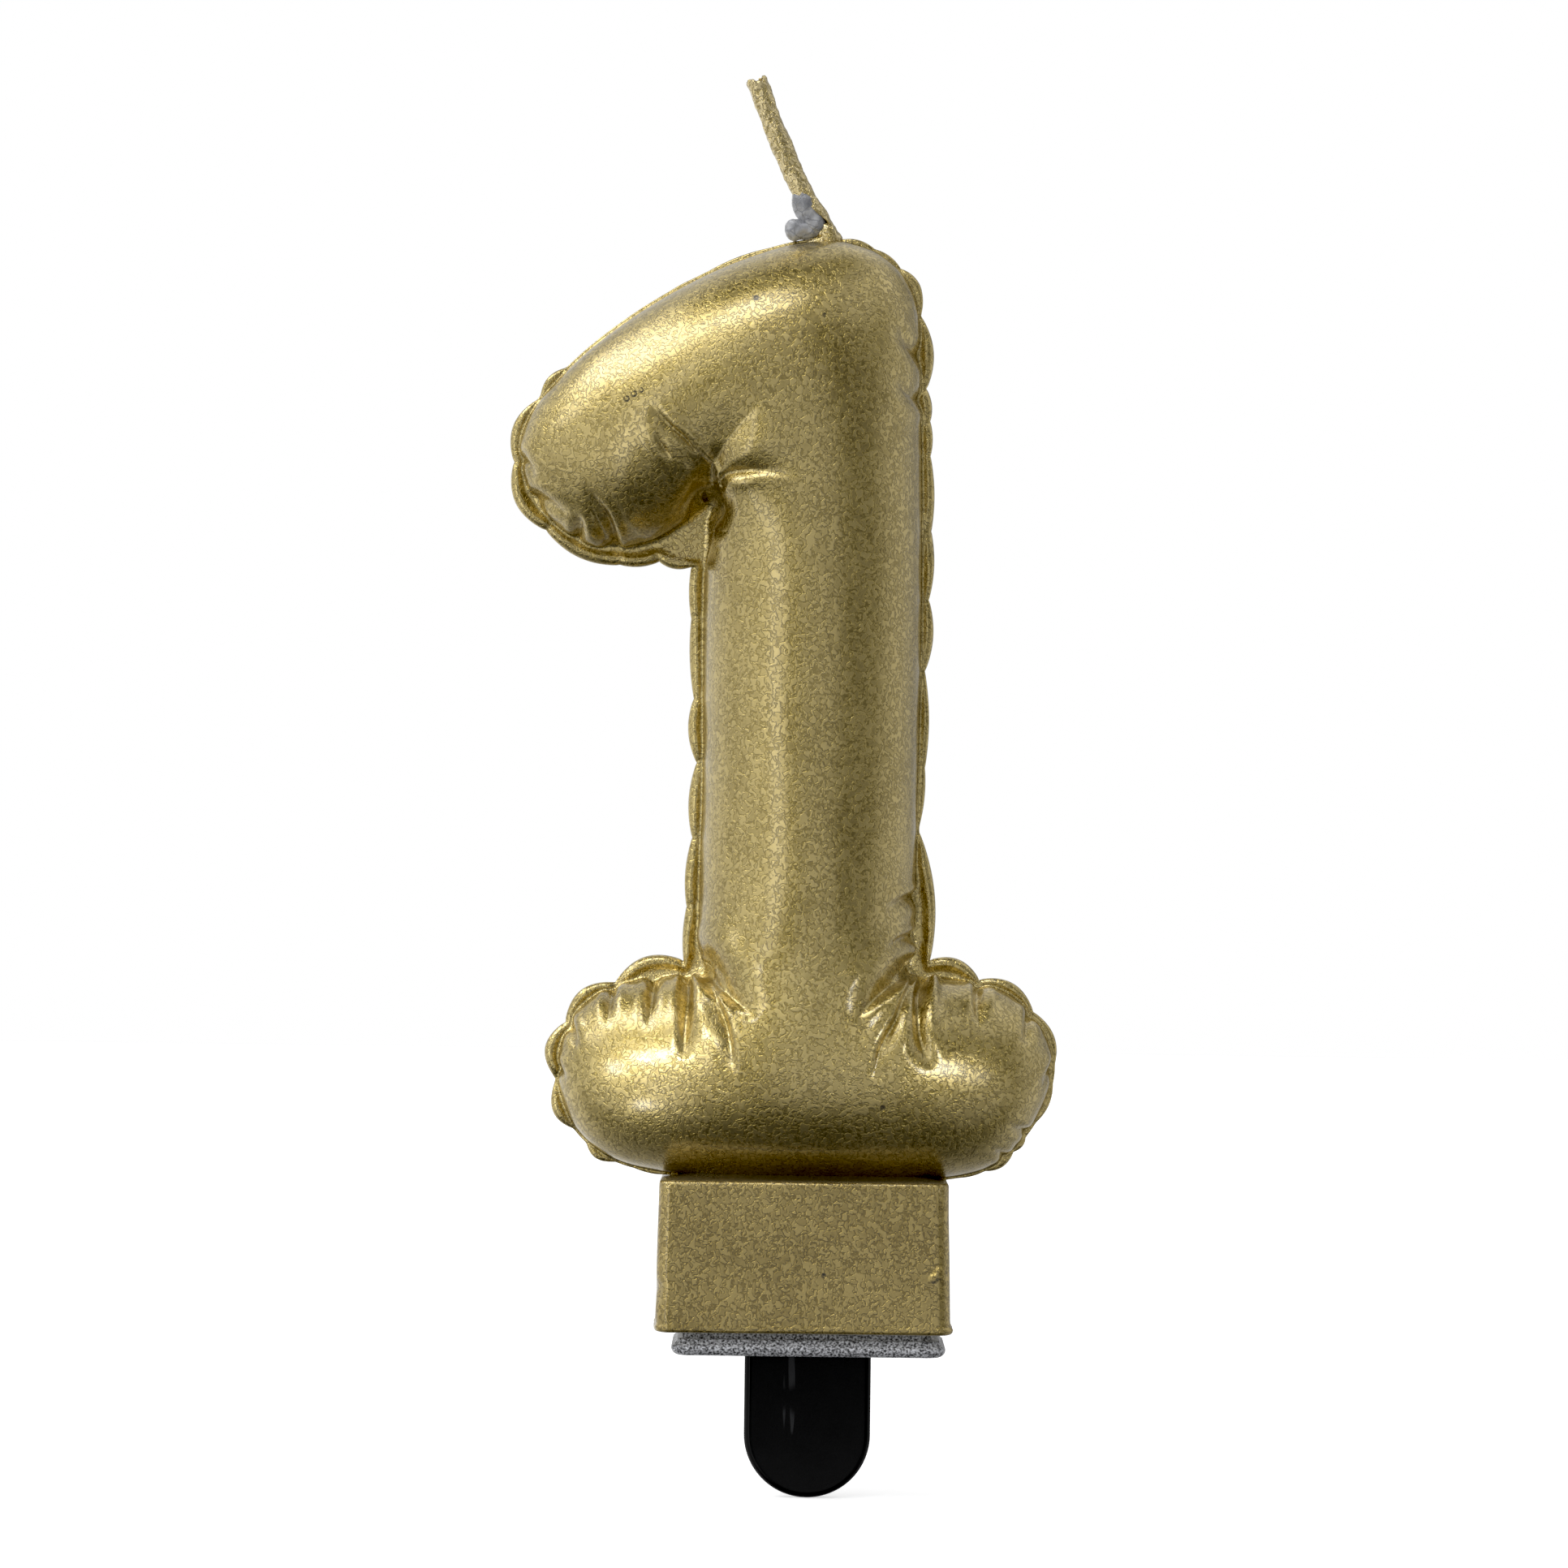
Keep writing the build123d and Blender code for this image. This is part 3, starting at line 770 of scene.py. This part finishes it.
def orange_peel_group():
    """Fine worm-like grain, broad clouds of tone and rare bright flecks of a sprayed or dipped lacquer."""
    scales = {"Grain Scale": 2250.0, "Cloud Scale": 140.0}
    group, given, out = shader_group("orange_peel", scales, ["Grain", "Cloud", "Flecks"])
    place = own_place(group)
    pebbles = noise(group, place, given.outputs[0], Detail=1.2, Distortion=0.5)
    fold = maths(group, "ABSOLUTE", maths(group, "SUBTRACT", pebbles, 0.5))
    worms = ramp(group, fold, ((0.0, 0.09), (0.0, 1.0)))
    grain = sum_of(group, (pebbles, 0.6), (worms, 0.34))
    cloud = noise(group, place, given.outputs[1], Detail=3.0, Roughness=0.6)
    flecks = node(group, "TexVoronoi", {"Vector": place, "Scale": 1500.0})
    fleck = ramp(group, flecks.outputs["Distance"], ((0.05, 0.16), (1.0, 0.0)))
    for value, socket in zip((grain, cloud, fleck), out.inputs):
        group.links.new(value, socket)
    return group


def scratches_group():
    """Short thin handling scratches: peaks of a stretched noise, kept only where a coarse noise is high."""
    group, given, out = shader_group("scratches", {"Scale": 900.0}, ["Mask"])
    place = own_place(group)
    stretch = {"Vector": place, "Rotation": (0.3, 0.9, 0.2), "Scale": (1.0, 1.0, 0.06)}
    turned = node(group, "Mapping", stretch).outputs[0]
    lines = noise(group, turned, given.outputs[0], Detail=1.0)
    where = noise(group, place, 260.0, Detail=1.0)
    thin = ramp(group, lines, ((0.68, 0.74), (0.0, 1.0)))
    kept = ramp(group, where, ((0.5, 0.62), (0.0, 1.0)))
    group.links.new(maths(group, "MULTIPLY", thin, kept), out.inputs[0])
    return group


orange_peel = orange_peel_group()
scratches = scratches_group()

# Painted shade: the dark brown laid into the dents of the marks.
pit_shade_brown = (0.06, 0.045, 0.015, 1)
bare_wax = (0.75, 0.7, 0.55, 1)
# Painted shade: a darker gold for the block's top close under the foot.
crevice_gold = (0.33, 0.28, 0.165, 1)


def finish_material(name, **constants):
    """A material with its Principled shader; constants are set on the shader's own sockets."""
    material = bpy.data.materials.new(name)
    material.use_nodes = True
    tree = material.node_tree
    shader = tree.nodes["Principled BSDF"]
    for socket, value in constants.items():
        shader.inputs[socket.replace("_", " ")].default_value = value
    return material, tree, shader


def coat(tree, shader, colour, rough, height, strength, distance_mm):
    """Puts a colour, a roughness and a bump on a shader."""
    bump = node(tree, "Bump", {"Height": height, "Strength": strength, "Distance": distance_mm * MM})
    tree.links.new(colour, shader.inputs["Base Color"])
    tree.links.new(rough, shader.inputs["Roughness"])
    tree.links.new(bump.outputs[0], shader.inputs["Normal"])


def spot(tree, place, x, z, size):
    """A round mark on the front at (x, z) mm: 1 in its middle, 0 outside."""
    front = -8
    middle = (x * MM, front * MM, z * MM)
    away = node(tree, "VectorMath", {0: place, 1: middle}, operation="SUBTRACT").outputs[0]
    flat = node(tree, "VectorMath", {0: away, 1: (1, 0.12, 1)}, operation="MULTIPLY").outputs[0]
    far = node(tree, "VectorMath", {0: flat}, operation="LENGTH").outputs["Value"]
    return ramp(tree, far, ((size * 0.4 * MM, size * MM), (1.0, 0.0)))


def gold_lacquer(name, dark, light, bump_mm=0.07, marks=(), bare=False):
    """Gold paint over wax: tone drifts in clouds, grain catches light, the seam is smoother and is painted a
    little lighter as a painted highlight.
    """
    material, tree, shader = finish_material(name, Coat_Weight=0.85, Coat_Roughness=0.2, Coat_IOR=1.8)
    place = own_place(tree)
    peel = node(tree, "Group", node_tree=orange_peel)
    grain, cloud, fleck = peel.outputs
    seam = mask_of(tree, "seam")
    # The seam's share raises the tone: a painted highlight on the frill.
    tone = sum_of(tree, (cloud, 0.7), (grain, 1.3), (fleck, 0.35), (seam, 0.12))
    colour = blend_colour(tree, ramp(tree, tone, ((0.7, 1.35), (0.0, 1.0))), dark, light)
    rough = sum_of(tree, (cloud, 0.14), (grain, 0.12), (seam, -0.1), (fleck, -0.1))
    rough = maths(tree, "ADD", rough, 0.17)
    lifted = grain
    for x, z, size, depth in marks:
        mark = spot(tree, place, x, z, size)
        lifted = maths(tree, "MULTIPLY_ADD", mark, depth, lifted)
        # A dent is also painted dark brown: painted shade in the pit.
        if depth < 0:
            colour = blend_colour(tree, maths(tree, "MULTIPLY", mark, 0.75), colour, pit_shade_brown)
    if bare:
        uncoated = mask_of(tree, "bare")
        colour = blend_colour(tree, uncoated, colour, bare_wax)
        # Painted shade: the block's top close under the foot is painted darker gold and made only half
        # metallic.
        shade_mask = mask_of(tree, "crevice")
        colour = blend_colour(tree, shade_mask, colour, crevice_gold)
        metal = ramp(tree, sum_of(tree, (uncoated, 1.0), (shade_mask, 0.5)), ((0.3, 0.7), (1.0, 0.0)))
        tree.links.new(metal, shader.inputs["Metallic"])
    else:
        shader.inputs["Metallic"].default_value = 1.0
    coat(tree, shader, colour, rough, lifted, 0.85, bump_mm)
    return material


def black_plastic(name, speckle):
    """Glossy moulded black plastic, faintly scratched; speckle, from 0 to 1, says how dusty it is."""
    material, tree, shader = finish_material(name, IOR=1.45, Specular_IOR_Level=0.2 + 0.3 * speckle)
    peel = node(tree, "Group", {"Grain Scale": 3400.0, "Cloud Scale": 300.0}, node_tree=orange_peel)
    scratch = node(tree, "Group", {"Scale": 1400.0}, node_tree=scratches).outputs[0]
    dust = noise(tree, own_place(tree), 5200.0, Detail=2.0)
    dusty = ramp(tree, dust, ((0.5 - 0.17 * speckle, 0.68), (0.0, 1.0)))
    clouded = (peel.outputs[1], 0.008 + 0.09 * speckle)
    share = sum_of(tree, (dusty, 0.95 * speckle + 0.001), (scratch, 0.05), clouded)
    colour = blend_colour(tree, share, (0.011, 0.011, 0.011, 1), (0.8, 0.81, 0.85, 1))
    rough = sum_of(tree, (peel.outputs[1], 0.12), (peel.outputs[0], 0.1 + 0.3 * speckle), (scratch, 0.3))
    coat(tree, shader, colour, rough, peel.outputs[0], 0.2 + 0.5 * speckle, 0.03)
    return material


def clear_wax_finish():
    """Cloudy grey wax: a little light goes through, with a wet gloss and fine cracks."""
    gloss = {"IOR": 1.45, "Transmission_Weight": 0.25, "Coat_Weight": 0.6, "Coat_Roughness": 0.12}
    material, tree, shader = finish_material("clear_wax", **gloss)
    place = own_place(tree)
    cloud = noise(tree, place, 900.0, Detail=3.0)
    cells = {"Vector": place, "Scale": 850.0}
    cracks = node(tree, "TexVoronoi", cells, feature="DISTANCE_TO_EDGE").outputs[0]
    lines = ramp(tree, cracks, ((0.0, 0.05), (1.0, 0.0)))
    tone = sum_of(tree, (cloud, 1.0), (lines, -0.22))
    share = ramp(tree, tone, ((0.3, 0.7), (0.0, 1.0)))
    colour = blend_colour(tree, share, (0.34, 0.35, 0.38, 1), (0.72, 0.73, 0.76, 1))
    rough = ramp(tree, cloud, ((0.3, 0.7), (0.18, 0.42)))
    coat(tree, shader, colour, rough, tone, 0.5, 0.12)
    return material


def cotton_finish():
    """Waxed cotton: fine threads that run round with the strands' twist."""
    material, tree, shader = finish_material("waxed_cotton", Sheen_Weight=0.2)
    twist = mask_of(tree, "twist")
    place = own_place(tree)
    fuzz = noise(tree, place, 4000.0, Detail=3.0)
    threads = maths(tree, "SINE", maths(tree, "MULTIPLY", twist, 75.0))
    height = sum_of(tree, (threads, 0.5), (fuzz, 0.8))
    share = ramp(tree, height, ((-0.1, 0.9), (0.0, 1.0)))
    colour = blend_colour(tree, share, (0.32, 0.27, 0.17, 1), (0.75, 0.7, 0.56, 1))
    rough = ramp(tree, fuzz, ((0.3, 0.7), (0.65, 0.9)))
    coat(tree, shader, colour, rough, height, 0.6, 0.06)
    return material


# Marks: x and z in mm, radius in mm, and depth as a multiple of the grain's; above 0 it is raised, below 0 it
# is a dent painted dark brown as painted shade.
lacquer = gold_lacquer("gold_lacquer", (0.34, 0.253, 0.058, 1), (0.66, 0.52, 0.19, 1), marks=(
    (-5.3, 86.6, 0.28, -6.0), (0.3, 85.2, 0.22, -4.0), (-7.1, 43.2, 0.3, -7.0), (5.8, 20.5, 0.3, -7.0),
    (-9.1, 62.3, 0.2, -4.0), (-15.8, 78.2, 0.3, 5.0), (-15.2, 78.6, 0.3, 5.0), (-14.6, 78.9, 0.24, 4.0),
))
block_marks = ((1.2, 6.7, 0.28, -6.0), (10.7, 7.0, 0.7, 2.0), (10.2, 6.6, 0.5, 2.0))
# Painted shade: the block's copy of the gold lacquer has darker colours than the numeral's.
block_lacquer_painted_darker = gold_lacquer(
    "gold_lacquer_painted_darker_on_block", (0.26, 0.185, 0.04, 1), (0.55, 0.42, 0.14, 1), 0.09, block_marks, bare=True
)
# Painted highlight: the wick's and collar's copy of the gold lacquer has lighter colours than the numeral's.
wick_lacquer_painted_lighter = gold_lacquer("gold_lacquer_painted_lighter_on_wick", (0.5, 0.39, 0.13, 1), (0.85, 0.7, 0.36, 1), 0.16)
blade_black = black_plastic("black_plastic", 0.0)
plate_black = black_plastic("black_plastic_dusty", 1.0)
wax_grey = clear_wax_finish()
cotton = cotton_finish()

# ---------------------------------------------------------------- the pieces, and what those of the candle and the pick ride on
candle_pieces = [
    (numeral(lacquer), ("gold_coat",), "gold_coating"),
    (foot_block(block_lacquer_painted_darker), ("wax_core",), "white_wax"),
    (wick_collar(wick_lacquer_painted_lighter), (), "gold_coating"),
]
for piece, nodes, slot in candle_pieces:
    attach(piece, "candle")
    if nodes:
        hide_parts(*nodes)

for piece, slot in ((pick_plate(plate_black), "black_plastic"), (pick_blade(blade_black), "black_plastic")):
    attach(piece, "pick")
    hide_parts("holder")

for piece, nodes, slot in (
    (wick_gold(wick_lacquer_painted_lighter), ("wick_coat",), "gold_coating"),
    (wick_braid(cotton), ("wick_root", "wick_tip"), "cotton_braid"),
    (clear_wax(wax_grey), ("root_bead",), "clear_wax"),
):
    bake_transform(piece)
    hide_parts(*nodes)

# ---------------------------------------------------------------- camera, floor and studio light
camera_data = bpy.data.cameras.new("camera")
camera_data.lens = 150
camera_data.sensor_width = 36
camera = into_scene("camera", camera_data)
picture_width = 129.83 * MM
picture_centre = Vector((-2.55, 0, 46.88)) * MM
camera.location = picture_centre - Vector((0, picture_width * camera_data.lens / camera_data.sensor_width, 0))
camera.rotation_euler = (radians(90), radians(-0.7), 0)
bpy.context.scene.camera = camera
view = bpy.context.scene.view_settings
view.view_transform = "Standard"
view.use_curve_mapping = True
view.curve_mapping.black_level = (0.01, 0.01, 0.01)
view.curve_mapping.update()

# The studio's soft boxes: degrees round from the front to the right, degrees up, half width, half height,
# strength.  Each box's light falls off from its middle as e to the power of box_falloff times the fourth
# power of the distance in half sizes.
soft_boxes = [
    ("left_window", -54, 0, 26, 34, 0.66),
    ("window_edge", -30, -2, 7, 36, 1.12),
    ("left_wall", -125, 0, 42, 42, 0.66),
    ("front", 5, 0, 19, 26, 0.45),
    ("front_low", 4, -26, 26, 16, 0.18),
    ("right_low", 50, -26, 17, 17, 0.3),
    ("upper_front", -10, 38, 22, 13, 0.62),
    ("front_right", 55, 5, 26, 40, 0.13),
    ("right_wall", 104, 0, 28, 45, 0.5),
    ("right_back", 160, 5, 20, 45, 0.3),
    ("left_back", -172, 5, 14, 45, 0.4),
    ("overhead_left", -80, 47, 38, 9, 3.9),
    ("beside_tip", -75, 29, 11, 9, 1.7),
    ("overhead_front", -24, 59, 28, 10, 3.9),
    ("overhead_right", 80, 50, 60, 18, 0.5),
    ("overhead_back_left", -180, 60, 50, 26, 0.6),
    ("overhead_back_right", 180, 60, 50, 26, 0.6),
    ("bounce_behind", 180, -40, 70, 40, 0.2),
    ("bounce_left", -180, -40, 110, 40, 0.2),
]
ambient = 0.075
box_falloff = -0.7
world = bpy.data.worlds.new("studio")
bpy.context.scene.world = world
world.use_nodes = True
sky = world.node_tree
background = sky.nodes["Background"]
background.inputs["Color"].default_value = (1, 1, 1, 1)
outward = node(sky, "SeparateXYZ", {0: node(sky, "TexCoord").outputs["Generated"]}).outputs
forward = maths(sky, "MULTIPLY", outward[1], -1.0)
round_angle = maths(sky, "ARCTAN2", outward[0], forward)
up_angle = maths(sky, "ARCSINE", outward[2])
light = node(sky, "Value").outputs[0]
light.default_value = ambient
for box, azimuth, elevation, half_width, half_height, strength in soft_boxes:
    squares = []
    for angle, middle, half in ((round_angle, azimuth, half_width), (up_angle, elevation, half_height)):
        share = maths(sky, "DIVIDE", maths(sky, "SUBTRACT", angle, radians(middle)), radians(half))
        squares.append(maths(sky, "MULTIPLY", share, share))
    square = maths(sky, "ADD", *squares)
    steep = maths(sky, "MULTIPLY", square, square)
    glow = maths(sky, "EXPONENT", maths(sky, "MULTIPLY", steep, box_falloff))
    light = maths(sky, "MULTIPLY_ADD", glow, strength, light)

# Small soft spots close to the foot: the point lit in mm, degrees round and up from there to the lamp, cone
# in degrees, the lamp's radius in mm and its power in watts.
lamp_distance = 50 * MM
soft_spots = [
    ("spot_on_foot_left_1", (-16.2, -6, 23.0), -50, 3, 14, 7, 0.016),
    ("spot_on_foot_left_2", (-13.7, -7, 23.9), -36, 13, 13, 7, 0.026),
    ("spot_on_foot_left_3", (-11.0, -7.6, 24.8), -22, 17, 14, 7, 0.036),
    ("spot_on_foot_left_4", (-8.0, -8.2, 25.4), -2, 16, 15, 7, 0.012),
    ("spot_under_foot_left", (-13.9, -6.6, 20.3), -38, -30, 10, 4, 0.006),
    ("spot_on_foot_right_1", (8.6, -8.2, 24.0), 31, 3, 16, 8, 0.024),
    ("spot_on_foot_right_2", (13.2, -6.8, 23.1), 41, -4, 16, 8, 0.005),
]
for spot_name, aim, azimuth, elevation, cone, radius, power in soft_spots:
    a, e = radians(azimuth), radians(elevation)
    direction = Vector((sin(a) * cos(e), -cos(a) * cos(e), sin(e)))
    lamp_data = bpy.data.lights.new(spot_name, "SPOT")
    lamp_data.spot_size, lamp_data.spot_blend = radians(cone), 0.8
    lamp_data.shadow_soft_size = radius * MM
    lamp_data.energy = power
    lamp = into_scene(spot_name, lamp_data)
    lamp.location = Vector(aim) * MM + direction * lamp_distance
    lamp.rotation_euler = direction.to_track_quat("Z", "Y").to_euler()
    lamp.visible_camera = False
seen = node(sky, "LightPath").outputs["Is Camera Ray"]
shown = node(sky, "Mix", {"Factor": seen, 2: light, 3: 1.0}, data_type="FLOAT").outputs[0]
sky.links.new(shown, background.inputs["Strength"])

floor_mesh = bpy.data.meshes.new("floor")
reach = 900 * MM
floor_level = (blade_tip - 0.02) * MM
floor_corners = [(x * reach, y * reach, floor_level) for x, y in ((-1, -1), (1, -1), (1, 1), (-1, 1))]
floor_mesh.from_pydata(floor_corners, [], [(0, 1, 2, 3)])
floor = into_scene("floor", floor_mesh)
floor_finish, _, floor_shader = finish_material(
    "pale_floor", Roughness=0.9, Emission_Strength=0.62, Specular_IOR_Level=0.1
)
floor_shader.inputs["Base Color"].default_value = (0.8, 0.8, 0.8, 1)
floor_shader.inputs["Emission Color"].default_value = (1, 1, 1, 1)
floor_mesh.materials.append(floor_finish)
floor.visible_diffuse = floor.visible_glossy = False
